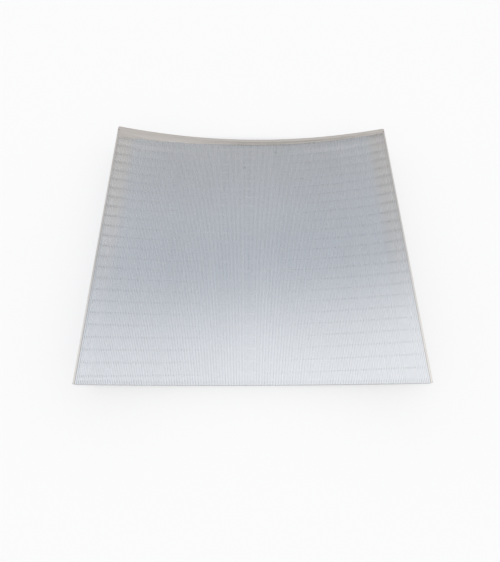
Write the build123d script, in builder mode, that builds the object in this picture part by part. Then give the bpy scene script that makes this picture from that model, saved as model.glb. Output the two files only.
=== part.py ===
from build123d import *

import os
from math import asin, cos, degrees, hypot, radians, sin, sqrt, tan

# Curved wedge-wire sieve screen, lying with its hollow side up. Millimetres, +Z up.
# The wires run along Y. The origin is at the middle of the panel, on the surface that it rests on.

# Working surface: the wire faces lie on a cylinder whose axis runs along Y, above the panel
face_radius = 1018.0

# Profile wires: a wedge section with a flat face, its two edges eased, tapering to a narrow foot
wire_face = 2.25
wire_edge_chamfer = 0.12
wire_foot = 1.0
wire_height = 3.5
wire_length = 490.0
slot_width = 0.25
wires_per_group = 12
wire_groups = 18

# Support rods: flat rods on edge, bent to the arc and welded across the wire feet.
# They lie a little out of square with the ends, as in a panel cut from a spirally wound screen.
rod_count = 24
rod_pitch = 20.0
rod_thickness = 3.0
rod_height = 8.0
rod_skew_angle = 1.32

# Frame of flat bars with eased edges, all reaching the same depth below the wire faces
frame_depth = 20.0
side_bar_thickness = 3.0
side_bar_clearance = 0.25
end_bar_thickness = 6.0
bar_edge_chamfer = 0.5

# The far end bar stands above the wire faces, more at its middle than at its ends
far_bar_rise_middle = 5.5
far_bar_rise_end = 2.5
far_bar_corner_radius = 4.0

# Sizes that follow from the ones above
wire_count = wires_per_group * wire_groups
wire_step_angle = degrees((wire_face + slot_width) / face_radius)
outer_wire_angle = wire_step_angle * (wire_count - 1) / 2
# The rods bear on the two edges of each flat wire foot
foot_radius = hypot(face_radius + wire_height, wire_foot / 2)
rod_outer_radius = foot_radius + rod_height
frame_outer_radius = face_radius + frame_depth
axis_height = frame_outer_radius
near_end = -(wire_length + end_bar_thickness) / 2
far_wire_end = near_end + wire_length
# Angle from the lowest line of the arc to the inner face of a side bar
deck_angle = radians(outer_wire_angle) + asin((wire_face / 2 + side_bar_clearance) / face_radius)


def section_plane(y):
    """Plane across the panel, with its origin on the arc's axis and its normal towards -Y."""
    return Plane(origin=(0, y, axis_height), x_dir=(1, 0, 0), z_dir=(0, -1, 0))


def edge_point(depth, outside, side):
    """Point in the section at a depth below the axis along the side bar's inner face.

    outside is the distance beyond that face, and side is -1 for the left or 1 for the right.
    """
    across = depth * sin(deck_angle) + outside * cos(deck_angle)
    down = depth * cos(deck_angle) - outside * sin(deck_angle)
    return (side * across, -down)


def arc_end(radius, outside, side):
    """Point where a circle about the axis meets the line at a distance beyond the inner face."""
    return edge_point(sqrt(radius**2 - outside**2), outside, side)


def finish(part, label):
    """Name a finished piece and write it to a file of its own."""
    part.label = label
    export_step(part, f"parts/{label}.step")


os.makedirs("parts", exist_ok=True)

# Profile wires. In the section, local X points outwards from the arc's axis, from face to foot.
wire_flank = [
    (0, wire_face / 2 - wire_edge_chamfer),
    (wire_edge_chamfer, wire_face / 2),
    (wire_height, wire_foot / 2),
]
wire_section = wire_flank + [(depth, -half_width) for depth, half_width in reversed(wire_flank)]
group_span = (wires_per_group - 1) * wire_step_angle

for group in range(wire_groups):
    first_angle = -90 - outer_wire_angle + group * wires_per_group * wire_step_angle
    with BuildPart() as profile_wires:
        with BuildSketch(section_plane(far_wire_end)):
            with PolarLocations(face_radius, wires_per_group, first_angle, group_span, endpoint=True):
                Polygon(*wire_section, align=None)
        extrude(amount=wire_length)
    finish(profile_wires.part, f"profile_wires_{group + 1:02d}")

# Support rods. Each is what a ring under the wire feet and an upright slab that crosses it askew
# have in common, so its inner face lies on every foot and its ends meet the side bars.
rod_half_reach = rod_thickness + rod_outer_radius * sin(deck_angle) * tan(radians(rod_skew_angle))

for rod in range(rod_count):
    rod_y = (rod - (rod_count - 1) / 2) * rod_pitch
    with BuildPart() as support_rod:
        with BuildSketch(section_plane(rod_y)):
            with BuildLine():
                inner = ThreePointArc(
                    arc_end(foot_radius, 0, -1), (0, -foot_radius), arc_end(foot_radius, 0, 1)
                )
                outer = ThreePointArc(
                    arc_end(rod_outer_radius, 0, -1), (0, -rod_outer_radius), arc_end(rod_outer_radius, 0, 1)
                )
                Line(inner @ 0, outer @ 0)
                Line(inner @ 1, outer @ 1)
            make_face()
        extrude(amount=rod_half_reach, both=True)
        with BuildSketch(Plane.XY):
            with Locations((0, rod_y)):
                Rectangle(2 * frame_outer_radius, rod_thickness, rotation=rod_skew_angle)
        extrude(amount=axis_height, mode=Mode.INTERSECT)
    finish(support_rod.part, f"support_rod_{rod + 1:02d}")

# Far end bar. It caps the ends of the wires and side bars and stands proud of the wire faces.
far_top_radius = face_radius - far_bar_rise_end

with BuildPart() as far_end_bar:
    with BuildSketch(section_plane(far_wire_end + end_bar_thickness)) as far_section:
        with BuildLine():
            top = ThreePointArc(
                arc_end(far_top_radius, side_bar_thickness, -1),
                (0, far_bar_rise_middle - face_radius),
                arc_end(far_top_radius, side_bar_thickness, 1),
            )
            bottom = ThreePointArc(
                arc_end(frame_outer_radius, side_bar_thickness, -1),
                (0, -frame_outer_radius),
                arc_end(frame_outer_radius, side_bar_thickness, 1),
            )
            Line(top @ 0, bottom @ 0)
            Line(top @ 1, bottom @ 1)
        make_face()
        fillet(far_section.vertices().sort_by(Axis.Y)[-2:], far_bar_corner_radius)
    extrude(amount=end_bar_thickness)
    chamfer(far_end_bar.faces().filter_by(Axis.Y).edges(), bar_edge_chamfer)
finish(far_end_bar.part, "far_end_bar")

# Near end bar. It lies under the wire feet, flush with the wire ends and between the side bars.
with BuildPart() as near_end_bar:
    with BuildSketch(section_plane(near_end + end_bar_thickness)):
        with BuildLine():
            top = ThreePointArc(
                arc_end(foot_radius, 0, -1), (0, -foot_radius), arc_end(foot_radius, 0, 1)
            )
            bottom = ThreePointArc(
                arc_end(frame_outer_radius, 0, -1), (0, -frame_outer_radius), arc_end(frame_outer_radius, 0, 1)
            )
            Line(top @ 0, bottom @ 0)
            Line(top @ 1, bottom @ 1)
        make_face()
    extrude(amount=end_bar_thickness)
    chamfer(near_end_bar.edges().filter_by(GeomType.CIRCLE), bar_edge_chamfer)
finish(near_end_bar.part, "near_end_bar")

# Side bars. Straight flat bars as long as the wires, flush with the wire faces along their top.
for label, side in (("left_side_bar", -1), ("right_side_bar", 1)):
    with BuildPart() as side_bar:
        with BuildSketch(section_plane(far_wire_end)):
            Polygon(
                edge_point(face_radius, 0, side),
                edge_point(face_radius, side_bar_thickness, side),
                edge_point(frame_outer_radius, side_bar_thickness, side),
                edge_point(frame_outer_radius, 0, side),
                align=None,
            )
        extrude(amount=wire_length)
        chamfer(side_bar.edges().filter_by(Axis.Y), bar_edge_chamfer)
    finish(side_bar.part, label)
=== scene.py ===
"""Curved wedge-wire sieve screen: its finishes, rolled bars, welds, studio and camera."""

import logging
import math
from collections.abc import Callable
from dataclasses import dataclass
from enum import Enum

import bpy
import numpy as np
from mathutils import Matrix, Vector


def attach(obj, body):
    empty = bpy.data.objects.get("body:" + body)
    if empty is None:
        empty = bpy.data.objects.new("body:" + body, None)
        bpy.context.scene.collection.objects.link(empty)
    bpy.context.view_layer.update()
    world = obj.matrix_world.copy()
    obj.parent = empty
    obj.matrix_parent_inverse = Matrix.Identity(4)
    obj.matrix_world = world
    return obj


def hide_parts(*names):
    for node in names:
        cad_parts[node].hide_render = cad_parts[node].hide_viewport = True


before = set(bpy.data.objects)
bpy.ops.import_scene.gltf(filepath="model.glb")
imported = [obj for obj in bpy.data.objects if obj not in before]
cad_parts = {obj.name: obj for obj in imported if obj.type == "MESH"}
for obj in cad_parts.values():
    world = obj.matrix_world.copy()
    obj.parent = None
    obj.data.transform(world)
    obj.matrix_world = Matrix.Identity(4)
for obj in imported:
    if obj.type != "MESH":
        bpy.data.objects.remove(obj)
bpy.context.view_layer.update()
LOG = logging.getLogger("sieve_screen")
MM = 0.001
BODY = "root"

Array = np.ndarray
Tree = bpy.types.NodeTree
Node = bpy.types.Node
Socket = bpy.types.NodeSocket
Material = bpy.types.Material
Piece = bpy.types.Object
Grid = tuple[Array, Array, Array]
# Decimals of a metre to which points count as one
SAME_PLACE = 9
# Angles at which half of a rounded edge is divided
EDGE_ANGLES = np.radians([0.0, 15.0, 30.0, 45.0])
# The Mix node keeps sockets for each kind of value. These are its two colours and their mixture.
MIX_FROM, MIX_TO, MIXED = 6, 7, 2


class Slot(Enum):
    """Material slots of the record."""

    ROD = "support_rod"
    BAR = "frame_bar"


class End(Enum):
    """The two ends of the panel along the wires, as seen by the camera."""

    NEAR = -1
    FAR = 1


class Side(Enum):
    """The two sides of the panel across the wires."""

    LEFT = -1
    RIGHT = 1


@dataclass(frozen=True)
class Panel:
    """Driving sizes of the panel in metres, as the construction has them."""

    face_radius: float = 1018.0 * MM
    wire_face: float = 2.25 * MM
    wire_foot: float = 1.0 * MM
    slot_width: float = 0.25 * MM
    wire_height: float = 3.5 * MM
    wire_count: int = 216
    wire_length: float = 490.0 * MM
    rod_count: int = 24
    rod_pitch: float = 20.0 * MM
    rod_thickness: float = 3.0 * MM
    rod_height: float = 8.0 * MM
    rod_skew: float = math.radians(1.32)
    frame_depth: float = 20.0 * MM
    side_bar_thickness: float = 3.0 * MM
    side_bar_clearance: float = 0.25 * MM
    end_bar_thickness: float = 6.0 * MM
    far_rise_middle: float = 5.5 * MM
    far_rise_end: float = 2.5 * MM
    far_corner_radius: float = 4.0 * MM

    @property
    def wire_step(self) -> float:
        """Angle between neighbouring wires, in radians."""
        return (self.wire_face + self.slot_width) / self.face_radius

    @property
    def outer_wire(self) -> float:
        """Angle of the outermost wire from the lowest line."""
        return self.wire_step * (self.wire_count - 1) / 2

    @property
    def deck_angle(self) -> float:
        """Angle of the side bars' inner faces from the lowest line."""
        half_chord = self.wire_face / 2 + self.side_bar_clearance
        return self.outer_wire + math.asin(half_chord / self.face_radius)

    @property
    def foot_radius(self) -> float:
        """Radius that the wire feet stand on."""
        return math.hypot(self.face_radius + self.wire_height, self.wire_foot / 2)

    @property
    def rod_outer_radius(self) -> float:
        """Radius of the rods' lower edge."""
        return self.foot_radius + self.rod_height

    @property
    def outer_radius(self) -> float:
        """Radius of the frame's lower edge, which is also the height of the arc's axis."""
        return self.face_radius + self.frame_depth

    @property
    def near_end(self) -> float:
        """Y of the near wire ends."""
        return -(self.wire_length + self.end_bar_thickness) / 2

    @property
    def far_wire_end(self) -> float:
        """Y of the far wire ends."""
        return self.near_end + self.wire_length

    def inner_face(self, end: End) -> float:
        """Y of an end bar's inner face."""
        return self.far_wire_end if end is End.FAR else self.near_end + self.end_bar_thickness

    def rod_y(self, rod: int | Array) -> float | Array:
        """Y at which a rod crosses the panel's middle line.

        Args:
            rod: Rod number from 0 at the near end, or an array of them.

        Returns:
            The place along Y in metres.
        """
        return (rod - (self.rod_count - 1) / 2) * self.rod_pitch


PANEL = Panel()


def linear(hex_colour: str) -> tuple[float, float, float, float]:
    """Turn an sRGB hex colour into the linear RGBA that the shaders read.

    Args:
        hex_colour: Six hex digits, with or without a leading hash.

    Returns:
        Linear red, green and blue, and an alpha of 1.
    """
    digits = hex_colour.lstrip("#")
    channels = [int(digits[i : i + 2], 16) / 255 for i in (0, 2, 4)]
    return (*[c / 12.92 if c <= 0.04045 else ((c + 0.055) / 1.055) ** 2.4 for c in channels], 1.0)


def add_node(
    tree: Tree, kind: str, inputs: dict[int | str, object] | None = None, **settings: object
) -> Node:
    """Add a node, set its properties, and fill or link its inputs.

    Args:
        tree: The node tree to add to.
        kind: The node's type name.
        inputs: A value or an output socket for each input, by name or place.
        **settings: Properties of the node itself.

    Returns:
        The new node.
    """
    node = tree.nodes.new(kind)
    for name, value in settings.items():
        setattr(node, name, value)
    for name, value in (inputs or {}).items():
        if isinstance(value, Socket):
            tree.links.new(value, node.inputs[name])
        else:
            node.inputs[name].default_value = value
    return node


def chain(tree: Tree, start: object, *steps: tuple[str, object]) -> Socket:
    """Pass a value through a row of Math nodes.

    Args:
        tree: The node tree to add to.
        start: The first operand, a socket or a number.
        *steps: An operation for each node, with its second operand, or None where it has only one.

    Returns:
        The last node's output socket.
    """
    value = start
    for operation, operand in steps:
        inputs = {0: value} if operand is None else {0: value, 1: operand}
        value = add_node(tree, "ShaderNodeMath", inputs, operation=operation).outputs[0]
    return value


def set_stops(elements: bpy.types.ColorRampElements, stops: tuple[tuple[float, str], ...]) -> None:
    """Put colours at their places on a ramp that has only its first two elements.

    Args:
        elements: The ramp's elements.
        stops: Place from 0 to 1 and sRGB hex colour of each, in order.
    """
    for element, (position, colour) in zip(elements, (stops[0], stops[-1])):
        element.position, element.color = position, linear(colour)
    for position, colour in stops[1:-1]:
        elements.new(position).color = linear(colour)


@dataclass(frozen=True)
class Finish:
    """A metal finish: what every one of them shares.

    Attributes:
        name: The material's name, which is the real finish.
        colour: The metal's colour as sRGB hex.
        roughness: How blurred its reflection is.
        bump_strength: How much of the pattern's relief shows.
        bump_depth: Height of that relief.
    """

    name: str
    colour: str
    roughness: float
    bump_strength: float = 0.25
    bump_depth: float = 0.05 * MM

    def start(self) -> tuple[Material, Tree, Node, Node]:
        """Make an empty metal material.

        Returns:
            The material, its tree, the shader node and a Texture Coordinate node.
        """
        material = bpy.data.materials.new(self.name)
        material.use_nodes = True
        tree = material.node_tree
        tree.nodes.clear()
        shader = add_node(
            tree,
            "ShaderNodeBsdfPrincipled",
            {"Base Color": linear(self.colour), "Metallic": 1.0, "Roughness": self.roughness},
        )
        add_node(tree, "ShaderNodeOutputMaterial", {"Surface": shader.outputs[0]})
        return material, tree, shader, add_node(tree, "ShaderNodeTexCoord")

    def link(
        self,
        tree: Tree,
        shader: Node,
        colour: Socket,
        roughness: Socket,
        relief: Socket | None = None,
    ) -> None:
        """Link the finish's patterns to its shader.

        Args:
            tree: The material's node tree.
            shader: Its shader node.
            colour: The patterned colour.
            roughness: The patterned roughness.
            relief: Height of the surface, or None where it is smooth.
        """
        tree.links.new(colour, shader.inputs["Base Color"])
        tree.links.new(roughness, shader.inputs["Roughness"])
        if relief is not None:
            bump = add_node(
                tree,
                "ShaderNodeBump",
                {"Height": relief, "Strength": self.bump_strength, "Distance": self.bump_depth},
            )
            tree.links.new(bump.outputs[0], shader.inputs["Normal"])


@dataclass(frozen=True)
class Scuff:
    """A small dark mark on the wire faces, in metres."""

    x: float
    y: float
    radius: float
    depth: float


@dataclass(frozen=True)
class DrawnWire(Finish):
    """Stainless profile wire, drawn and then ground on its face.

    To the eye that is bright grey metal with a soft reflection that is drawn out along the wire, and no
    two wires quite alike, so the deck shows fine streaks. Over each rod it is a little darker, a faint weld
    tint together with painted shade of the rod under the wires, which is stronger in the strips along both
    sides. Those strips are painted light, warmer, and painted shade, darker; painted shade also darkens
    the deck away from its middle and towards +X.
    """

    bump_strength: float = 0.06
    bump_depth: float = 0.02 * MM
    wire_variation: float = 0.012
    wire_roughness_variation: float = 0.02
    streak_width: float = 0.5 * MM
    streak_length: float = 70.0 * MM
    streak_detail: float = 3.0
    streak_variation: float = 0.035
    # Change of roughness for each unit of a streak's tone
    streak_roughness: float = 0.6
    cloud_size: float = 90.0 * MM
    cloud_detail: float = 2.0
    cloud_variation: float = 0.06
    # Faint weld tint together with painted shade of the rod under the wires, over every rod; then the core
    # and width of that mark
    weld_tint: float = 0.01
    weld_tint_core: float = 0.5 * MM
    weld_tint_width: float = 3.5 * MM
    # Further painted shade over the rods within the side strips
    edge_tint: float = 0.13
    # Painted shade that darkens the side strips
    edge_shade: float = 0.045
    # Painted light: the side strips' warmer colour
    edge_colour: str = "#D8D5D1"
    # Distance from the middle where the strip along each side, painted light and painted shade, begins, and
    # where it is full
    edge_reach: tuple[float, float] = (228.0 * MM, 252.0 * MM)
    # Place along Y where the painted strips and the rods' tint and painted shade begin to show, and where
    # they show fully
    tint_reach: tuple[float, float] = (-170.0 * MM, 80.0 * MM)
    # Painted shade that darkens the deck away from its middle, fully at this half width
    polish: float = 0.03
    polish_half_width: float = 190.0 * MM
    # Loss of tone at the far side of the strip along +X, and the same gain along -X
    right_shade: float = 0.025
    scuffs: tuple[Scuff, ...] = ()
    # Share of a scuff's radius over which it is fully dark
    scuff_core: float = 0.3

    def build(self) -> Material:
        """Make the wire material.

        Returns:
            A metal whose tone changes from wire to wire, with streaks, clouds, weld tint with painted shade
            over the rods, painted light and shade in the side strips and away from the middle, and scuffs.
        """
        material, tree, shader, place = self.start()
        axes = add_node(tree, "ShaderNodeSeparateXYZ", {0: place.outputs["Object"]}).outputs
        below_axis = chain(tree, PANEL.outer_radius, ("SUBTRACT", axes["Z"]))
        # A wire's number is its angle about the arc's axis, counted in wire steps
        number = chain(
            tree, axes["X"], ("ARCTAN2", below_axis), ("DIVIDE", PANEL.wire_step), ("FLOOR", None)
        )
        own = add_node(tree, "ShaderNodeTexWhiteNoise", {"W": number}, noise_dimensions="1D").outputs["Value"]
        # Drawing streaks are noise squeezed across the wire and stretched along it, and clouds are not
        squeeze = (1 / self.streak_width, 1 / self.streak_length, 1 / self.streak_width)
        even = (1 / self.cloud_size,) * 3
        streak, cloud = (
            add_node(
                tree,
                "ShaderNodeTexNoise",
                {
                    "Vector": add_node(
                        tree, "ShaderNodeMapping", {"Vector": place.outputs["Object"], "Scale": scale}
                    ).outputs[0],
                    "Scale": 1.0,
                    "Detail": detail,
                },
            ).outputs["Fac"]
            for scale, detail in ((squeeze, self.streak_detail), (even, self.cloud_detail))
        )
        wire_tone, streak_tone, cloud_tone = (
            chain(tree, pattern, ("SUBTRACT", 0.5), ("MULTIPLY", variation))
            for pattern, variation in (
                (own, self.wire_variation),
                (streak, self.streak_variation),
                (cloud, self.cloud_variation),
            )
        )
        # Distance along Y from the nearest rod, which lies askew across the wires
        skewed = chain(tree, axes["X"], ("MULTIPLY", math.tan(PANEL.rod_skew)))
        from_rod = chain(
            tree,
            axes["Y"],
            ("SUBTRACT", skewed),
            ("DIVIDE", PANEL.rod_pitch),
            ("FRACT", None),
            ("SUBTRACT", 0.5),
            ("ABSOLUTE", None),
            ("MULTIPLY", PANEL.rod_pitch),
        )
        across = chain(tree, axes["X"], ("ABSOLUTE", None))
        # Full over a rod, along both sides, away from the near end, and away from the middle
        over_rod, at_edge, shown, unpolished = (
            add_node(
                tree,
                "ShaderNodeMapRange",
                {"Value": value, "From Min": start, "From Max": end},
                interpolation_type="SMOOTHSTEP",
            ).outputs[0]
            for value, start, end in (
                (from_rod, self.weld_tint_width, self.weld_tint_core),
                (across, *self.edge_reach),
                (axes["Y"], *self.tint_reach),
                (across, 0.0, self.polish_half_width),
            )
        )
        at_edge = chain(tree, at_edge, ("MULTIPLY", shown))
        # Darkening over each rod: painted shade of the rod under the wires with a faint weld tint, stronger
        # in the side strips
        extra = chain(tree, at_edge, ("MULTIPLY", self.edge_tint - self.weld_tint))
        strength = chain(tree, extra, ("ADD", self.weld_tint), ("MULTIPLY", shown))
        over_rod = chain(tree, over_rod, ("MULTIPLY", strength))
        # The photo is a little darker along both sides and towards +X, and brighter in the middle
        # Painted shade along the sides, towards +X and away from the middle
        tone = chain(
            tree,
            wire_tone,
            ("ADD", streak_tone),
            ("ADD", cloud_tone),
            ("SUBTRACT", over_rod),
            ("SUBTRACT", chain(tree, at_edge, ("MULTIPLY", self.edge_shade))),
            ("SUBTRACT", chain(tree, unpolished, ("MULTIPLY", self.polish))),
            ("SUBTRACT", chain(tree, axes["X"], ("MULTIPLY", self.right_shade / self.edge_reach[1]))),
            ("ADD", 1.0),
        )
        for scuff in self.scuffs:
            away = add_node(
                tree,
                "ShaderNodeVectorMath",
                {0: place.outputs["Object"], 1: (scuff.x, scuff.y, scuff_height(scuff.x))},
                operation="DISTANCE",
            ).outputs["Value"]
            mark = add_node(
                tree,
                "ShaderNodeMapRange",
                {"Value": away, "From Min": scuff.radius, "From Max": scuff.radius * self.scuff_core},
                interpolation_type="SMOOTHSTEP",
            ).outputs[0]
            tone = chain(tree, tone, ("SUBTRACT", chain(tree, mark, ("MULTIPLY", scuff.depth))))
        # Painted light: the strips along both sides are warmer too
        ground = add_node(
            tree,
            "ShaderNodeMix",
            {0: at_edge, MIX_FROM: linear(self.colour), MIX_TO: linear(self.edge_colour)},
            data_type="RGBA",
        )
        toned = add_node(
            tree, "ShaderNodeVectorMath", {0: ground.outputs[MIXED], "Scale": tone}, operation="SCALE"
        )
        own_rough = chain(tree, own, ("MULTIPLY", self.wire_roughness_variation), ("ADD", self.roughness))
        rough = chain(tree, streak_tone, ("MULTIPLY", self.streak_roughness), ("ADD", own_rough))
        self.link(tree, shader, toned.outputs[0], rough, streak)
        return material


def scuff_height(x: float) -> float:
    """Height of the wire faces above the floor at a place across the panel."""
    return PANEL.outer_radius - math.sqrt(PANEL.face_radius**2 - x**2)


class Grain(Enum):
    """The way that a bar's rolling marks run."""

    ARC = "round the arc"
    WIRES = "along the wires"


@dataclass(frozen=True)
class RolledBar(Finish):
    """Stainless flat bar as it comes from the rolls, pickled.

    To the eye that is matt grey metal with faint lengthwise rolling marks and a few shallow pits. Faces
    that point up, and the far bar's inner face, are painted light: a lighter, warmer colour than the grey
    of the other faces.
    """

    grain: Grain = Grain.ARC
    mark_length: float = 90.0 * MM
    mark_width: float = 0.8 * MM
    mark_detail: float = 4.0
    mark_share: float = 0.7
    pit_size: float = 2.5 * MM
    pit_detail: float = 3.0
    pit_fineness: float = 0.6
    # Change of roughness for each unit of the pit pattern
    pit_roughness: float = 0.25
    # Values of the mixed pattern that give the one and the other tone
    tone_reach: tuple[float, float] = (0.35, 0.65)
    # Painted light: the warmer colour of faces that point up and of the far bar's inner face, and the grey of
    # all other faces
    warm: str = "#BDB9B3"
    flank: str = "#B6B8BA"
    flank_variation: float = 0.08
    # Part of the face's normal along Z, and along Y, where the warm painted light begins and where it is full
    upper_reach: tuple[float, float] = (0.2, 0.6)
    inner_reach: tuple[float, float] = (-0.3, -0.6)
    # Brown along the far bar's outer upper edge, and where along Y it begins and is full
    stain: str = "#A7947F"
    stain_reach: tuple[float, float] = (246.4 * MM, 247.6 * MM)

    def build(self) -> Material:
        """Make the bar material.

        Returns:
            A grey metal with rolling marks along the chosen axis, shallow pits, painted light that makes
            upward faces warm, and a brown line along the far upper edge.
        """
        material, tree, shader, place = self.start()
        axes = add_node(tree, "ShaderNodeSeparateXYZ", {0: place.outputs["Object"]}).outputs
        if self.grain is Grain.ARC:
            # Distance round the arc, distance along Y and radius stand for the bar's three sizes
            below_axis = chain(tree, PANEL.outer_radius, ("SUBTRACT", axes["Z"]))
            angle = chain(tree, axes["X"], ("ARCTAN2", below_axis))
            squared = chain(tree, axes["X"], ("MULTIPLY", axes["X"]))
            radius = chain(tree, below_axis, ("MULTIPLY", below_axis), ("ADD", squared), ("SQRT", None))
            unrolled = add_node(
                tree,
                "ShaderNodeCombineXYZ",
                {0: chain(tree, angle, ("MULTIPLY", PANEL.outer_radius)), 1: axes["Y"], 2: radius},
            ).outputs[0]
            scale = (1 / self.mark_length, 1 / self.mark_width, 1 / self.mark_width)
        else:
            unrolled = place.outputs["Object"]
            scale = (1 / self.mark_width, 1 / self.mark_length, 1 / self.mark_width)
        stretched = add_node(tree, "ShaderNodeMapping", {"Vector": unrolled, "Scale": scale})
        marks = add_node(
            tree,
            "ShaderNodeTexNoise",
            {"Vector": stretched.outputs[0], "Scale": 1.0, "Detail": self.mark_detail},
        ).outputs["Fac"]
        pits = add_node(
            tree,
            "ShaderNodeTexNoise",
            {
                "Vector": place.outputs["Object"],
                "Scale": 1 / self.pit_size,
                "Detail": self.pit_detail,
                "Roughness": self.pit_fineness,
            },
        ).outputs["Fac"]
        pit_shade = chain(tree, pits, ("MULTIPLY", 1 - self.mark_share))
        shade = chain(tree, marks, ("MULTIPLY", self.mark_share), ("ADD", pit_shade))
        normal = add_node(tree, "ShaderNodeSeparateXYZ", {0: place.outputs["Normal"]}).outputs
        spread, upper, inner, outer = (
            add_node(
                tree, "ShaderNodeMapRange", {"Value": value, "From Min": start, "From Max": end}
            ).outputs[0]
            for value, start, end in (
                (shade, *self.tone_reach),
                (normal["Z"], *self.upper_reach),
                (normal["Y"], *self.inner_reach),
                (axes["Y"], *self.stain_reach),
            )
        )
        # Top edges and the far bar's inner face are warm in the photo. It shows no other face.
        # Painted light: these faces take the lighter warm colour, and all other faces the grey flank colour
        inner = chain(tree, axes["Y"], ("GREATER_THAN", 0.0), ("MULTIPLY", inner))
        grey_tone = chain(
            tree, spread, ("MULTIPLY", self.flank_variation), ("ADD", 1 - self.flank_variation)
        )
        colour = add_node(
            tree,
            "ShaderNodeVectorMath",
            {0: linear(self.flank)[:3], "Scale": grey_tone},
            operation="SCALE",
        ).outputs[0]
        warm = add_node(
            tree,
            "ShaderNodeMix",
            {0: spread, MIX_FROM: linear(self.warm), MIX_TO: linear(self.colour)},
            data_type="RGBA",
        ).outputs[MIXED]
        # Brown lies along the upper edge that is furthest along Y
        for share, over in (
            (chain(tree, upper, ("MAXIMUM", inner)), warm),
            (chain(tree, outer, ("MULTIPLY", upper)), linear(self.stain)),
        ):
            colour = add_node(
                tree, "ShaderNodeMix", {0: share, MIX_FROM: colour, MIX_TO: over}, data_type="RGBA"
            ).outputs[MIXED]
        rough = chain(
            tree, pits, ("SUBTRACT", 0.5), ("MULTIPLY", self.pit_roughness), ("ADD", self.roughness)
        )
        self.link(tree, shader, colour, rough, shade)
        return material


@dataclass(frozen=True)
class WeldTinted(Finish):
    """Steel that a weld has heated: weld metal, and the rods close to it.

    To the eye that is grey with faint straw and blue tints in soft patches.
    """

    straw: str = "#A9946C"
    blue: str = "#6E7684"
    tint: float = 0.5
    # Values of the patch pattern that are fully blue and fully straw
    tint_reach: tuple[float, float] = (0.36, 0.64)
    patch_size: float = 6.0 * MM
    patch_detail: float = 3.0
    patch_roughness: float = 0.3

    def build(self) -> Material:
        """Make the tinted material.

        Returns:
            A metal with straw and blue oxide patches at the size of a weld's heat mark.
        """
        material, tree, shader, place = self.start()
        patches = add_node(
            tree,
            "ShaderNodeTexNoise",
            {"Vector": place.outputs["Object"], "Scale": 1 / self.patch_size, "Detail": self.patch_detail},
        ).outputs["Fac"]
        ramp = add_node(tree, "ShaderNodeValToRGB", {"Fac": patches})
        blue_end, straw_end = self.tint_reach
        set_stops(
            ramp.color_ramp.elements,
            ((blue_end, self.blue), ((blue_end + straw_end) / 2, self.colour), (straw_end, self.straw)),
        )
        mixed = add_node(
            tree,
            "ShaderNodeMix",
            {0: self.tint, MIX_FROM: linear(self.colour), MIX_TO: ramp.outputs[0]},
            data_type="RGBA",
        )
        rough = chain(
            tree, patches, ("SUBTRACT", 0.5), ("MULTIPLY", self.patch_roughness), ("ADD", self.roughness)
        )
        self.link(tree, shader, mixed.outputs[MIXED], rough)
        return material


def finish_piece(piece: Piece, material: Material, slot: Slot, *nodes: str) -> None:
    """Give a piece its material and body, and hide the CAD nodes that it stands for.

    Args:
        piece: The new object, already in place.
        material: Its material.
        slot: The record's slot that it belongs to; not used.
        *nodes: CAD nodes that it replaces.
    """
    piece.data.materials.clear()
    piece.data.materials.append(material)
    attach(piece, BODY)
    if nodes:
        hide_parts(*nodes)
    replaced = ", ".join(nodes) or "nothing"
    LOG.info("%s: %d faces, replaces %s", piece.name, len(piece.data.polygons), replaced)


def mesh_piece(name: str, points: Array, faces: Array, normals: Array | None = None) -> Piece:
    """Make a mesh object from whole arrays.

    Args:
        name: The piece's name.
        points: Vertex places, one row each, in metres.
        faces: Vertex numbers, one row of three or four each.
        normals: Shading normals, one row for each vertex, or None for smooth shading worked out from
            the faces.

    Returns:
        The linked object, at the origin.
    """
    mesh = bpy.data.meshes.new(name)
    mesh.from_pydata(points.tolist(), [], faces.tolist())
    mesh.polygons.foreach_set("use_smooth", np.ones(len(mesh.polygons), bool))
    if normals is not None:
        mesh.normals_split_custom_set_from_vertices(normals.tolist())
    mesh.update()
    piece = bpy.data.objects.new(name, mesh)
    bpy.context.scene.collection.objects.link(piece)
    return piece


def grid_faces(rows: int, columns: int, wrap: bool = False) -> Array:
    """Quads over a grid of points numbered row by row.

    Args:
        rows: Number of point rows.
        columns: Number of points in each row.
        wrap: Whether the last column joins the first.

    Returns:
        One row of four vertex numbers for each quad.
    """
    across = columns if wrap else columns - 1
    row, column = np.meshgrid(np.arange(rows - 1), np.arange(across), indexing="ij")
    following = (column + 1) % columns
    here, beside = row * columns + column, row * columns + following
    return np.stack([here, beside, beside + columns, here + columns], axis=-1).reshape(-1, 4)


def tube_faces(rows: int, columns: int) -> Array:
    """Triangles over a tube of points numbered ring by ring, with a fan that closes each end.

    Args:
        rows: Number of rings.
        columns: Number of points in each ring.

    Returns:
        One row of three vertex numbers for each triangle.
    """
    quads = grid_faces(rows, columns, wrap=True)
    fan = np.arange(1, columns - 1)
    hub = np.zeros_like(fan)
    first = np.stack([hub, fan + 1, fan], -1)
    last = np.stack([hub, fan, fan + 1], -1) + (rows - 1) * columns
    return np.concatenate([quads[:, [0, 1, 2]], quads[:, [0, 2, 3]], first, last])


def edge_lines(half: float, edge: float, inner: Array) -> Array:
    """Grid lines across a bar's size, close together where its edge is rounded.

    A line in the rounded zone lies at the edge radius times the tangent of an even angle, so that the
    points spread evenly round the edge.

    Args:
        half: Half of the size.
        edge: Edge radius.
        inner: Places of further lines, from -1 to 1 over the flat stretch.

    Returns:
        Sorted places of the lines, from -half to half.
    """
    rounded = half - edge + edge * np.tan(EDGE_ANGLES)
    return np.unique(np.round(np.concatenate([-rounded, rounded, inner * (half - edge)]), SAME_PLACE))


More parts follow.
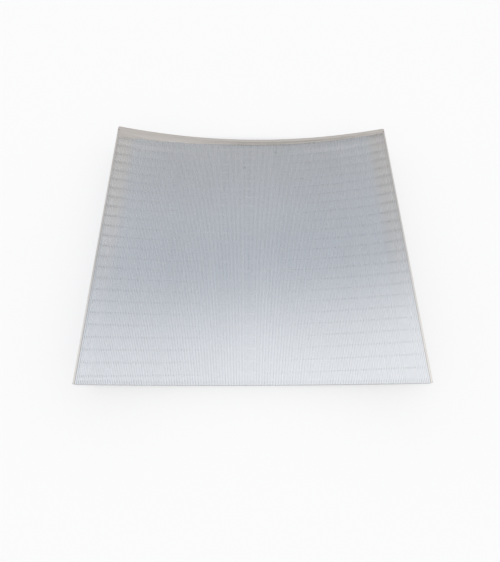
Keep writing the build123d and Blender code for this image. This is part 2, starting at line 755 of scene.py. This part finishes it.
def rounded_bar(size: tuple[float, float, float], edge: float, inner: tuple[Array, Array, Array]) -> Grid:
    """A straight bar with rounded edges, centred on the origin.

    Each point of a box is moved to the nearest point of a smaller box inside it, plus the edge radius
    towards where it was. Its normal is that same direction.

    Args:
        size: Length, depth and thickness.
        edge: Edge radius.
        inner: Further grid lines over the flat stretch of each size, from -1 to 1.

    Returns:
        Points, quads and normals.
    """
    half = np.array(size) / 2
    lines = [edge_lines(half[k], edge, inner[k]) for k in range(3)]
    points, faces, count = [], [], 0
    for axis in range(3):
        first, second = (axis + 1) % 3, (axis + 2) % 3
        u, v = np.meshgrid(lines[first], lines[second], indexing="ij")
        for sign in (-1, 1):
            sheet = np.empty((*u.shape, 3))
            sheet[..., axis] = sign * half[axis]
            sheet[..., first] = u
            sheet[..., second] = v
            quads = grid_faces(*u.shape) + count
            points.append(sheet.reshape(-1, 3))
            faces.append(quads[:, ::-1] if sign > 0 else quads)
            count += u.size
    met = np.round(np.concatenate(points), SAME_PLACE)
    box_points, where = np.unique(met, axis=0, return_inverse=True)
    core = np.clip(box_points, -(half - edge), half - edge)
    outward = box_points - core
    normals = outward / np.linalg.norm(outward, axis=1, keepdims=True)
    return core + edge * normals, where.reshape(-1)[np.concatenate(faces)], normals


def polar(angle: Array, radius: Array, y: Array) -> Array:
    """Points at an angle and a radius about the arc's axis.

    X is the radius times the sine of the angle, and Z is the axis height less the radius times the
    cosine.
    """
    return np.stack(
        np.broadcast_arrays(radius * np.sin(angle), y, PANEL.outer_radius - radius * np.cos(angle)), axis=-1
    )


def turn_normals(normals: Array, angle: Array) -> Array:
    """Turn normals given along the arc, outwards and along Y into the panel's frame.

    Args:
        normals: Rows of tangent, outward and Y parts.
        angle: Angle about the arc's axis, one for each row or one for all.

    Returns:
        Rows of X, Y and Z parts.
    """
    tangent, outward, along = normals.T
    x = tangent * np.cos(angle) + outward * np.sin(angle)
    z = tangent * np.sin(angle) - outward * np.cos(angle)
    return np.stack([x, along, z], axis=-1)


def foot_line(share: Array) -> Array:
    """Radius of the wire feet, which is the same at every place along a bar."""
    return np.full_like(share, PANEL.foot_radius)


@dataclass
class BentBar:
    """A flat bar or rod on edge that follows the arc, with rounded edges.

    Attributes:
        node: The CAD node that it replaces.
        inner_radius: Radius of its upper edge at a place along it, from -1 to 1.
        outer_radius: Radius of its lower edge.
        middle_y: Y of its middle plane where it crosses the panel's middle line.
        thickness: Its size along Y.
        beyond: How far its ends pass the inner faces of the side bars.
        skew: Angle out of square with the wires.
        edge: Edge radius.
        steps: Number of stretches along the arc.
        end_lines: Distances from each end of further lines, which let a rounded corner show.
    """

    node: str
    inner_radius: Callable[[Array], Array]
    outer_radius: float
    middle_y: float
    thickness: float
    beyond: float = 0.0
    skew: float = 0.0
    edge: float = 0.4 * MM
    steps: int = 72
    end_lines: tuple[int, ...] = (1, 2, 3, 4, 6, 8)

    def build(self) -> Piece:
        """Build the bent bar.

        The straight bar's length becomes the angle, its depth runs from the upper to the lower radius,
        and its thickness lies along Y. A skewed rod is sheared along Y by its X times the tangent of
        the skew. A length past the side bars' inner faces stays straight, square to those faces.

        Returns:
            The linked object.
        """
        depth = self.outer_radius - float(self.inner_radius(np.zeros(1))[0])
        half_arc = PANEL.deck_angle * self.outer_radius
        length = 2 * (half_arc + self.beyond)
        close_to_end = 1 - np.array(self.end_lines) * MM / (length / 2)
        even = np.linspace(-1, 1, self.steps + 1)
        inner = (np.concatenate([even, close_to_end, -close_to_end]), np.zeros(0), np.zeros(0))
        points, faces, normals = rounded_bar((length, depth, self.thickness), self.edge, inner)
        along, down, across = points.T
        arc_length = np.clip(along, -half_arc, half_arc)
        angle = arc_length / self.outer_radius
        past = along - arc_length
        upper = self.inner_radius(along / (length / 2))
        radius = upper + (down / depth + 0.5) * (self.outer_radius - upper)
        placed = polar(angle, radius, np.zeros_like(angle))
        placed[:, 0] += past * np.cos(angle)
        placed[:, 2] += past * np.sin(angle)
        placed[:, 1] = self.middle_y + across / math.cos(self.skew) + placed[:, 0] * math.tan(self.skew)
        return mesh_piece(f"{self.node}_rolled", placed, faces, turn_normals(normals, angle))


@dataclass
class Frame:
    """The frame of flat bars round the deck."""

    edge: float = 0.5 * MM
    side_lines: int = 13
    bar_finish: RolledBar = RolledBar("rolled stainless flat bar, pickled", "#D0CBC6", 0.50, warm="#C3BEB7")
    side_finish: RolledBar = RolledBar(
        "rolled stainless flat bar, side", "#DAD6D1", 0.34, grain=Grain.WIRES, warm="#CDC8C1"
    )

    def far_upper_radius(self, share: Array) -> Array:
        """Radius of the far bar's upper edge.

        The rise above the wire faces falls with the square of the distance from the middle, and close
        to each end the edge follows a quarter circle of the corner radius.

        Args:
            share: Place along the bar, from -1 to 1.

        Returns:
            The radius in metres.
        """
        half_length = PANEL.deck_angle * PANEL.outer_radius + PANEL.side_bar_thickness
        rise = PANEL.far_rise_middle - (PANEL.far_rise_middle - PANEL.far_rise_end) * share**2
        corner = PANEL.far_corner_radius
        into_corner = np.clip(corner - half_length * (1 - np.abs(share)), 0, corner)
        drop = corner - np.sqrt(corner**2 - into_corner**2)
        return PANEL.face_radius - rise + drop

    def build_side_bar(self, side: Side) -> Piece:
        """Build a straight side bar that stands square to the deck's edge.

        Args:
            side: Which side of the panel.

        Returns:
            The linked object.
        """
        size = (PANEL.side_bar_thickness, PANEL.frame_depth, PANEL.wire_length)
        even = np.linspace(-1, 1, self.side_lines)
        points, faces, normals = rounded_bar(size, self.edge, (np.zeros(0), np.zeros(0), even))
        angle = side.value * PANEL.deck_angle
        outside = points[:, 0] + side.value * PANEL.side_bar_thickness / 2
        depth = PANEL.face_radius + PANEL.frame_depth / 2 + points[:, 1]
        middle_y = PANEL.near_end + PANEL.wire_length / 2
        placed = polar(np.full(len(points), angle), depth, middle_y + points[:, 2])
        placed[:, 0] += outside * math.cos(angle)
        placed[:, 2] += outside * math.sin(angle)
        name = f"{side.name.lower()}_side_bar"
        return mesh_piece(f"{name}_rolled", placed, faces, turn_normals(normals, angle))

    def build(self) -> None:
        """Build and dress the four bars."""
        bar, side_bar = self.bar_finish.build(), self.side_finish.build()
        half = PANEL.end_bar_thickness / 2
        for node, upper, middle_y, beyond in (
            ("far_end_bar", self.far_upper_radius, PANEL.far_wire_end + half, PANEL.side_bar_thickness),
            ("near_end_bar", foot_line, PANEL.near_end + half, 0.0),
        ):
            bent = BentBar(
                node, upper, PANEL.outer_radius, middle_y, PANEL.end_bar_thickness, beyond, edge=self.edge
            )
            finish_piece(bent.build(), bar, Slot.BAR, node)
        for side in Side:
            finish_piece(self.build_side_bar(side), side_bar, Slot.BAR, f"{side.name.lower()}_side_bar")


@dataclass
class SupportRods:
    """The bent rods that carry the wires, with the weld metal at each crossing."""

    edge: float = 0.35 * MM
    steps: int = 54
    flash_across: float = 0.62 * MM
    flash_reach: float = 0.55 * MM
    flash_height: float = 0.55 * MM
    flash_sides: int = 6
    flash_latitude: float = 40.0
    # Painted light: the rods and their weld flash are paler than stainless steel, so that they look less dark
    # in the shade under the wires
    rod_finish: WeldTinted = WeldTinted("stainless rod, weld tinted", "#EEECE9", 0.24, tint=0.08)
    flash_finish: WeldTinted = WeldTinted(
        "resistance weld flash", "#E2E0DC", 0.24, tint=0.18, patch_size=3 * MM
    )

    def build_flash(self) -> Piece:
        """Build the weld flash at every crossing of a wire and a rod.

        Each is a low ellipsoid, drawn out along the wire so that it shows on both sides of the rod. A
        point is its latitude and longitude turned into the three half sizes.

        Returns:
            One object that holds all of them.
        """
        wires = (np.arange(PANEL.wire_count) - (PANEL.wire_count - 1) / 2) * PANEL.wire_step
        rods = PANEL.rod_y(np.arange(PANEL.rod_count))
        angle, rod_y = (a.ravel() for a in np.meshgrid(wires, rods, indexing="ij"))
        count = self.flash_sides
        meridians = np.radians(np.arange(0, 360, 360 // count))
        latitudes = np.radians([-self.flash_latitude, self.flash_latitude])
        lat, lon = np.meshgrid(latitudes, meridians, indexing="ij")
        ring = np.stack([np.cos(lat) * np.cos(lon), np.cos(lat) * np.sin(lon), np.sin(lat)], -1)
        unit = np.concatenate([ring.reshape(-1, 3), [[0, 0, -1.0], [0, 0, 1.0]]])
        turn = np.arange(count)
        onward = (turn + 1) % count
        bottom, top = np.full(count, 2 * count), np.full(count, 2 * count + 1)
        corners = (
            (turn, onward, onward + count),
            (turn, onward + count, turn + count),
            (onward, turn, bottom),
            (turn + count, onward + count, top),
        )
        band = np.concatenate([np.stack(triangle, -1) for triangle in corners])
        half = np.array([self.flash_across, PANEL.rod_thickness / 2 + self.flash_reach, self.flash_height])
        local = unit * half
        # Local X lies along the arc, local Y along the wire and local Z towards the axis
        radius = PANEL.foot_radius - local[None, :, 2]
        turned = angle[:, None] + local[None, :, 0] / PANEL.foot_radius
        middle = PANEL.foot_radius * np.sin(angle) * math.tan(PANEL.rod_skew) + rod_y
        points = polar(turned, radius, middle[:, None] + local[None, :, 1]).reshape(-1, 3)
        faces = (band[None] + np.arange(len(angle))[:, None, None] * len(unit)).reshape(-1, 3)
        return mesh_piece("weld_flash", points, faces)

    def build(self) -> None:
        """Build and dress the rods and their weld flash."""
        rod_metal = self.rod_finish.build()
        for rod in range(PANEL.rod_count):
            node = f"support_rod_{rod + 1:02d}"
            bent = BentBar(
                node,
                foot_line,
                PANEL.rod_outer_radius,
                float(PANEL.rod_y(rod)),
                PANEL.rod_thickness,
                skew=PANEL.rod_skew,
                edge=self.edge,
                steps=self.steps,
            )
            finish_piece(bent.build(), rod_metal, Slot.ROD, node)
        finish_piece(self.build_flash(), self.flash_finish.build(), Slot.ROD)


@dataclass
class Deck:
    """The deck of profile wires, whose shape is the construction's own."""

    finish: DrawnWire = DrawnWire(
        "drawn stainless profile wire, ground face",
        "#D0D2D4",
        0.26,
        scuffs=(
            Scuff(49.9 * MM, 218.3 * MM, 4.5 * MM, 0.16),
            Scuff(-15.1 * MM, 179.9 * MM, 4.5 * MM, 0.14),
            Scuff(-2.9 * MM, 167.5 * MM, 4.0 * MM, 0.10),
            Scuff(79.4 * MM, 224.9 * MM, 3.5 * MM, 0.10),
            Scuff(118.4 * MM, 188.0 * MM, 3.5 * MM, 0.10),
        ),
    )

    def dress(self) -> None:
        """Give every group of wires the wire finish."""
        metal = self.finish.build()
        for name in sorted(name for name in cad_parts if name.startswith("profile_wires_")):
            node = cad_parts[name]
            node.data.materials.clear()
            node.data.materials.append(metal)
            LOG.info("%s: dressed", name)


@dataclass
class Bead:
    """A run of weld metal along a path.

    Attributes:
        path: Points of its middle line, one row each.
        first: Direction from the path in which its section's cosine part points, one row each.
        second: Direction in which its sine part points, one row each.
        radius: Radius of the bead.
        ripple_pitch: Distance between its ripples.
        ripple_size: Height of a ripple as a share of the radius.
        ripple_lag: How far a ripple lags at the bead's flanks, as a share of the pitch.
        blunt_end: Square of the share of the radius that is left at each end.
        sides: Number of points round the bead.
    """

    path: Array
    first: Array
    second: Array
    radius: float
    ripple_pitch: float
    ripple_size: float = 0.08
    ripple_lag: float = 0.25
    blunt_end: float = 0.04
    sides: int = 8

    def surface(self) -> tuple[Array, Array]:
        """Work out the bead's surface.

        The radius follows a quarter circle at each end, and between them it swells a little with the
        cosine of the distance along the path, each ripple lagging at the bead's flanks.

        Returns:
            Points, and faces with both ends closed.
        """
        lengths = np.linalg.norm(np.diff(self.path, axis=0), axis=1)
        distance = np.concatenate([[0.0], np.cumsum(lengths)])
        to_end = np.minimum(distance, distance[-1] - distance)
        into_end = 1 - np.clip(to_end / self.radius, 0, 1)
        taper = np.sqrt(np.clip(1 - into_end**2, self.blunt_end, 1))
        turn = np.linspace(0, 2 * np.pi, self.sides, endpoint=False)
        phase = distance[:, None] / self.ripple_pitch + self.ripple_lag * np.cos(turn)[None]
        swell = self.radius * taper[:, None] * (1 + self.ripple_size * np.cos(2 * np.pi * phase))
        points = (
            self.path[:, None]
            + swell[..., None] * np.cos(turn)[None, :, None] * self.first[:, None]
            + swell[..., None] * np.sin(turn)[None, :, None] * self.second[:, None]
        )
        return points.reshape(-1, 3), tube_faces(len(self.path), self.sides)


def bead_piece(name: str, beads: list[Bead], material: Material) -> None:
    """Join beads into one piece and dress it.

    Args:
        name: The piece's name.
        beads: The beads.
        material: Their weld metal.
    """
    points, faces, count = [], [], 0
    for bead in beads:
        bead_points, bead_faces = bead.surface()
        points.append(bead_points)
        faces.append(bead_faces + count)
        count += len(bead_points)
    finish_piece(mesh_piece(name, np.concatenate(points), np.concatenate(faces)), material, Slot.BAR)


@dataclass
class FrameWelds:
    """The hand-laid weld beads that hold the rods and wires in the frame."""

    bead_radius: float = 1.1 * MM
    ripple_pitch: float = 1.3 * MM
    seam_radius: float = 0.8 * MM
    seam_depth: float = 0.2 * MM
    seam_points: int = 40
    stitch_length: float = 22.0 * MM
    stitch_gap: float = 38.0 * MM
    # Where a rod's end bead starts below the wire feet and stops above the rod's lower edge
    rod_margins: tuple[float, float] = (0.8 * MM, 0.3 * MM)
    rod_points: int = 16
    corner_radius: float = 1.32 * MM
    corner_margin: float = 1.5 * MM
    corner_points: int = 30
    finish: WeldTinted = WeldTinted("hand-laid stainless weld bead", "#B5B1AA", 0.30, tint=0.45)

    def facing(self, path: Array, first: Array, second: Array, radius: float) -> Bead:
        """A bead whose section is turned so that its faces point outwards.

        Args:
            path: Middle line.
            first: Direction of the section's cosine part, one row for each point or one for all.
            second: Direction of its sine part, in the same way.
            radius: The bead's radius.

        Returns:
            The bead, with the two directions swapped if they would turn it inside out.
        """
        forward = path[-1] - path[0]
        if np.dot(np.cross(first[0], second[0]), forward) < 0:
            first, second = second, first
        return Bead(path, second, first, radius, self.ripple_pitch)

    def upright_bead(self, side: Side, radii: Array, y: Array | float, way: int, radius: float) -> Bead:
        """A bead down the inner face of a side bar.

        Args:
            side: Which side bar.
            radii: Radii of its points about the arc's axis.
            y: Y of its points.
            way: 1 where it lies towards the far end of what it joins, or -1.
            radius: The bead's radius.

        Returns:
            The bead.
        """
        angle = side.value * PANEL.deck_angle
        inward = np.array([[-side.value * math.cos(angle), 0.0, -side.value * math.sin(angle)]])
        path = polar(np.full_like(radii, angle), radii, y)
        return self.facing(path, inward, np.array([[0.0, way, 0.0]]), radius)

    def arc_seam(self, end: End) -> list[Bead]:
        """Stitches along the corner between the wire feet and an end bar.

        Args:
            end: Which end bar.

        Returns:
            One bead for each stitch, on the arc of the wire feet.
        """
        step = (self.stitch_length + self.stitch_gap) / PANEL.foot_radius
        count = int(2 * PANEL.deck_angle / step)
        half = self.stitch_length / PANEL.foot_radius / 2
        inward = np.array([[0.0, -end.value, 0.0]])
        beads = []
        for middle in (np.arange(count) - (count - 1) / 2) * step:
            angle = np.linspace(middle - half, middle + half, self.seam_points)
            radius = np.full_like(angle, PANEL.foot_radius + self.seam_depth)
            path = polar(angle, radius, PANEL.inner_face(end))
            outward = np.stack([np.sin(angle), np.zeros_like(angle), -np.cos(angle)], -1)
            beads.append(self.facing(path, inward, outward, self.seam_radius))
        return beads

    def rod_end_beads(self) -> list[Bead]:
        """Two upright fillets at each rod end, one on each side of the rod.

        Returns:
            The beads, in the corner between the rod's flank and the side bar.
        """
        below, above = self.rod_margins
        radii = np.linspace(PANEL.foot_radius + below, PANEL.rod_outer_radius - above, self.rod_points)
        beads = []
        for side in Side:
            skewed = radii * math.sin(side.value * PANEL.deck_angle) * math.tan(PANEL.rod_skew)
            for rod in range(PANEL.rod_count):
                for flank in (-1, 1):
                    y = PANEL.rod_y(rod) + flank * PANEL.rod_thickness / 2 + skewed
                    beads.append(self.upright_bead(side, radii, y, flank, self.bead_radius))
        return beads

    def corner_beads(self) -> list[Bead]:
        """An upright bead in each inner corner, where a side bar meets an end bar.

        Returns:
            Four beads below the wire feet.
        """
        top, bottom = PANEL.foot_radius + self.corner_margin, PANEL.outer_radius - self.corner_margin
        radii = np.linspace(top, bottom, self.corner_points)
        return [
            self.upright_bead(side, radii, PANEL.inner_face(end), -end.value, self.corner_radius)
            for side in Side
            for end in End
        ]

    def build(self) -> None:
        """Build and dress every run of weld."""
        metal = self.finish.build()
        bead_piece("rod_end_welds", self.rod_end_beads(), metal)
        bead_piece("frame_corner_welds", self.corner_beads(), metal)
        for end in End:
            bead_piece(f"{end.name.lower()}_end_seam_welds", self.arc_seam(end), metal)


@dataclass
class BlendedWeld:
    """The weld run between the far bar and the wire faces, ground smooth.

    It closes the slots beside the bar. On the left, where the last rod stands furthest from the bar,
    it spreads out over the wire ends. The run along the bar is weld metal; its pale spread on the left is
    painted light, a sheet in place of the lighter band where light shows through the slots.
    """

    far_bar: Frame
    base_width: float = 2.6 * MM
    # Spread over the wire ends on the left: painted light, a pale sheet in place of a lit band
    spread: float = 14.0 * MM
    spread_from: float = -20.0 * MM
    spread_over: float = 240.0 * MM
    spread_power: float = 1.3
    crown: float = 0.12 * MM
    crown_power: int = 8
    sunk: float = 0.5 * MM
    rise_share: float = 0.9
    rise_power: float = 1.5
    # Share of the bar's length at which the bar's rise is read for the run's end, short of its corner
    reach: float = 0.985
    # Share of the width, length in metres and phase of each sine wave in the wavering
    wavers: tuple[tuple[float, float, float], ...] = ((0.05, 11 * MM, 0.0), (0.04, 4.3 * MM, 1.0))
    sharp_angle: float = math.radians(50)
    steps: int = 240
    across: int = 9
    finish: RolledBar = RolledBar("ground weld run", "#CFCAC5", 0.6, mark_width=4 * MM, warm="#C3BDB6")

    def width(self, x: Array) -> Array:
        """Width of the run over the wire faces, which grows with a power of the distance to the left."""
        beyond = np.clip((self.spread_from - x) / self.spread_over, 0, None)
        return self.base_width + self.spread * beyond**self.spread_power

    def build(self) -> None:
        """Build and dress the run.

        Its section goes from the bar's upper inner edge down to the wire faces on a hollow curve, whose
        height is the bar's rise times a power of what is left of the width. Sine waves along the arc
        make its width waver by a few tenths of a millimetre, as in work done by hand.
        """
        angle = np.linspace(-PANEL.deck_angle, PANEL.deck_angle, self.steps + 1)[:, None]
        share = np.linspace(0, 1, self.across)[None]
        rise = PANEL.face_radius - self.far_bar.far_upper_radius(angle / PANEL.deck_angle * self.reach)
        x = PANEL.face_radius * np.sin(angle)
        waver = 1 + sum(size * np.sin(x / length + phase) for size, length, phase in self.wavers)
        slope = self.rise_share * rise * (1 - share) ** self.rise_power
        height = slope + self.crown * (1 - share**self.crown_power)
        y = PANEL.far_wire_end - self.width(x) * waver * share
        top = np.stack([np.broadcast_to(angle, height.shape), PANEL.face_radius - height, y], -1)
        inner = np.concatenate([angle, np.full_like(angle, PANEL.face_radius + self.sunk)], 1)
        front = np.concatenate([inner, y[:, -1:]], 1)[:, None]
        back = np.concatenate([inner, np.full_like(angle, PANEL.far_wire_end)], 1)[:, None]
        ring = np.concatenate([top, front, back], 1)
        points = polar(ring[..., 0], ring[..., 1], ring[..., 2]).reshape(-1, 3)
        piece = mesh_piece("far_end_blended_weld", points, tube_faces(*ring.shape[:2]))
        piece.data.set_sharp_from_angle(angle=self.sharp_angle)
        finish_piece(piece, self.finish.build(), Slot.BAR)


def seen_rays(tree: Tree) -> Socket:
    """Tell the rays that the eye or a reflection sees by from those that light the object.

    Args:
        tree: Node tree that the nodes go into.

    Returns:
        1 for camera, glossy and transmission rays, else 0.
    """
    rays = add_node(tree, "ShaderNodeLightPath").outputs
    return chain(
        tree,
        rays["Is Camera Ray"],
        ("ADD", rays["Is Glossy Ray"]),
        ("ADD", rays["Is Transmission Ray"]),
        ("MINIMUM", 1.0),
    )


@dataclass
class Studio:
    """The pale floor, the soft light and the camera.

    Attributes:
        eye: Camera place in metres.
        pitch: Angle below level at which it looks.
        yaw: Turn about the upright axis.
        roll: Turn about the line of sight.
        picture_height: Height of the photograph in pixels.
        focal_pixels: Focal length in its pixels.
        film_height: Height of the camera's film in millimetres.
        near_clip: Distance from which the camera sees.
    """

    eye: tuple[float, float, float] = (-14.72 * MM, -280.65 * MM, 571.71 * MM)
    pitch: float = math.radians(69.10)
    yaw: float = math.radians(-2.655)
    roll: float = math.radians(2.562)
    picture_height: float = 562.0
    focal_pixels: float = 330.0
    film_height: float = 36.0
    near_clip: float = 10.0 * MM
    floor_half: float = 6.0
    floor_colour: str = "#FBFBFB"
    floor_whitening: float = 0.6
    # Whitening of the floor that shows through the slots, near and far, and where along Y it changes
    shaded_whitening: tuple[float, float] = (0.26, 0.0)
    shaded_reach: tuple[float, float] = (-230.0 * MM, 40.0 * MM)
    # The floor that shows through the slots ends at this half width and half length, and the whole
    # whitening starts a margin further out. It lies a little towards the far end, as the camera sees it.
    shadow_half: tuple[float, float] = (288.0 * MM, 256.0 * MM)
    shadow_margin: float = 12.0 * MM
    shadow_shift: float = 16.0 * MM
    sky_strength: float = 1.8
    # The sky's brightest direction leans this far to the left of straight up
    sky_lean: float = math.radians(15.0)
    # Height on a unit sphere where the white backdrop begins to give way to the sky, and where it ends
    backdrop_fade: tuple[float, float] = (0.47, 0.62)
    # Sky tone away from that direction: the share of a quarter turn, and the colour there. It is no real
    # room, but was set until the deck mirrors the tones that it has in the photo.
    sky: tuple[tuple[float, str], ...] = (
        (0.00, "#F8F8F9"),
        (0.20, "#F6F6F7"),
        (0.22, "#E0E2E5"),
        (0.26, "#B2B7BF"),
        (0.29, "#9298A1"),
        (0.33, "#999FA9"),
        (0.37, "#B9BDC4"),
        (0.40, "#B7BAC0"),
        (0.50, "#949597"),
        (0.62, "#C8C6C4"),
        (1.00, "#CECBC8"),
    )

    def build_camera(self) -> None:
        """Place the camera at the photograph's viewpoint.

        The line of sight is the Y axis turned down by the pitch and then about Z by the yaw. The
        picture's two axes are turned about it by the roll.
        """
        cos_p, sin_p = math.cos(self.pitch), math.sin(self.pitch)
        cos_y, sin_y = math.cos(self.yaw), math.sin(self.yaw)
        sight = Vector((-sin_y * cos_p, cos_y * cos_p, -sin_p))
        level = Vector((cos_y, sin_y, 0))
        upright = Vector((-sin_y * sin_p, cos_y * sin_p, cos_p))
        right = level * math.cos(self.roll) + upright * math.sin(self.roll)
        up = upright * math.cos(self.roll) - level * math.sin(self.roll)
        data = bpy.data.cameras.new("photograph_view")
        data.sensor_fit = "VERTICAL"
        data.sensor_height = self.film_height
        data.lens = self.film_height * self.focal_pixels / self.picture_height
        data.clip_start = self.near_clip
        camera = bpy.data.objects.new("photograph_view", data)
        turned = Matrix((right, up, -sight)).transposed().to_4x4()
        camera.matrix_world = Matrix.Translation(self.eye) @ turned
        bpy.context.scene.collection.objects.link(camera)
        bpy.context.scene.camera = camera

    def build_sky(self) -> None:
        """Light the object from all round with a soft sky that is brightest overhead."""
        world = bpy.data.worlds.new("soft_studio")
        world.use_nodes = True
        tree = world.node_tree
        tree.nodes.clear()
        place = add_node(tree, "ShaderNodeTexCoord")
        brightest = (-math.sin(self.sky_lean), 0.0, math.cos(self.sky_lean))
        towards = add_node(
            tree,
            "ShaderNodeVectorMath",
            {0: place.outputs["Generated"], 1: brightest},
            operation="DOT_PRODUCT",
        ).outputs["Value"]
        from_top = chain(tree, towards, ("ARCCOSINE", None), ("DIVIDE", math.pi / 2))
        ramp = add_node(tree, "ShaderNodeValToRGB", {"Fac": from_top})
        set_stops(ramp.color_ramp.elements, self.sky)
        light = add_node(
            tree, "ShaderNodeBackground", {"Color": ramp.outputs[0], "Strength": self.sky_strength}
        )
        # Low down, where a side view looks past the floor, it is plain white to the eye and in metal
        up = add_node(tree, "ShaderNodeSeparateXYZ", {0: place.outputs["Generated"]}).outputs["Z"]
        low = add_node(
            tree,
            "ShaderNodeMapRange",
            {"Value": up, "From Min": self.backdrop_fade[1], "From Max": self.backdrop_fade[0]},
            interpolation_type="SMOOTHSTEP",
        ).outputs[0]
        white = add_node(tree, "ShaderNodeBackground", {"Color": (1, 1, 1, 1), "Strength": 1.0})
        seen = chain(tree, seen_rays(tree), ("MULTIPLY", low))
        both = add_node(tree, "ShaderNodeMixShader", {0: seen, 1: light.outputs[0], 2: white.outputs[0]})
        add_node(tree, "ShaderNodeOutputWorld", {"Surface": both.outputs[0]})
        bpy.context.scene.world = world

    def build_floor(self) -> None:
        """Lay the plain pale floor that the panel stands on.

        Seen directly or in metal, it is partly plain white, so that the panel's shadow beside it is
        faint. Under the panel, where it shows through the slots, it is whitened only a little, and only
        towards the near end.
        """
        corners = np.array([[-1, -1, 0], [1, -1, 0], [1, 1, 0], [-1, 1, 0]]) * self.floor_half
        floor = mesh_piece("floor", corners, np.array([[0, 1, 2, 3]]))
        material = bpy.data.materials.new("matt white floor")
        material.use_nodes = True
        tree = material.node_tree
        tree.nodes.clear()
        matt = add_node(tree, "ShaderNodeBsdfDiffuse", {"Color": linear(self.floor_colour)})
        white = add_node(tree, "ShaderNodeEmission", {"Color": (1, 1, 1, 1), "Strength": 1.0})
        axes = add_node(
            tree,
            "ShaderNodeSeparateXYZ",
            {"Vector": add_node(tree, "ShaderNodeTexCoord").outputs["Object"]},
        ).outputs
        distances = (
            chain(tree, axes["X"], ("ABSOLUTE", None)),
            chain(tree, axes["Y"], ("SUBTRACT", self.shadow_shift), ("ABSOLUTE", None)),
        )
        beyond_x, beyond_y = (
            add_node(
                tree,
                "ShaderNodeMapRange",
                {"Value": distance, "From Min": half, "From Max": half + self.shadow_margin},
                interpolation_type="SMOOTHSTEP",
            ).outputs[0]
            for distance, half in zip(distances, self.shadow_half)
        )
        shaded = add_node(
            tree,
            "ShaderNodeMapRange",
            {
                "Value": axes["Y"],
                "From Min": self.shaded_reach[0],
                "From Max": self.shaded_reach[1],
                "To Min": self.shaded_whitening[0],
                "To Max": self.shaded_whitening[1],
            },
        ).outputs[0]
        outside = chain(tree, beyond_x, ("MAXIMUM", beyond_y))
        share = chain(
            tree,
            self.floor_whitening,
            ("SUBTRACT", shaded),
            ("MULTIPLY", outside),
            ("ADD", shaded),
        )
        seen = chain(tree, seen_rays(tree), ("MULTIPLY", share))
        both = add_node(tree, "ShaderNodeMixShader", {0: seen, 1: matt.outputs[0], 2: white.outputs[0]})
        add_node(tree, "ShaderNodeOutputMaterial", {"Surface": both.outputs[0]})
        floor.data.materials.append(material)

    def build(self) -> None:
        """Build the camera, the sky and the floor."""
        self.build_camera()
        self.build_sky()
        self.build_floor()
        bpy.context.scene.view_settings.view_transform = "Standard"


def main() -> None:
    """Build the studio, then each sub-assembly in turn."""
    logging.basicConfig(level=logging.INFO, format="%(name)s %(message)s")
    Studio().build()
    Deck().dress()
    SupportRods().build()
    bars = Frame()
    bars.build()
    FrameWelds().build()
    BlendedWeld(bars).build()


if __name__ == "__main__":
    main()
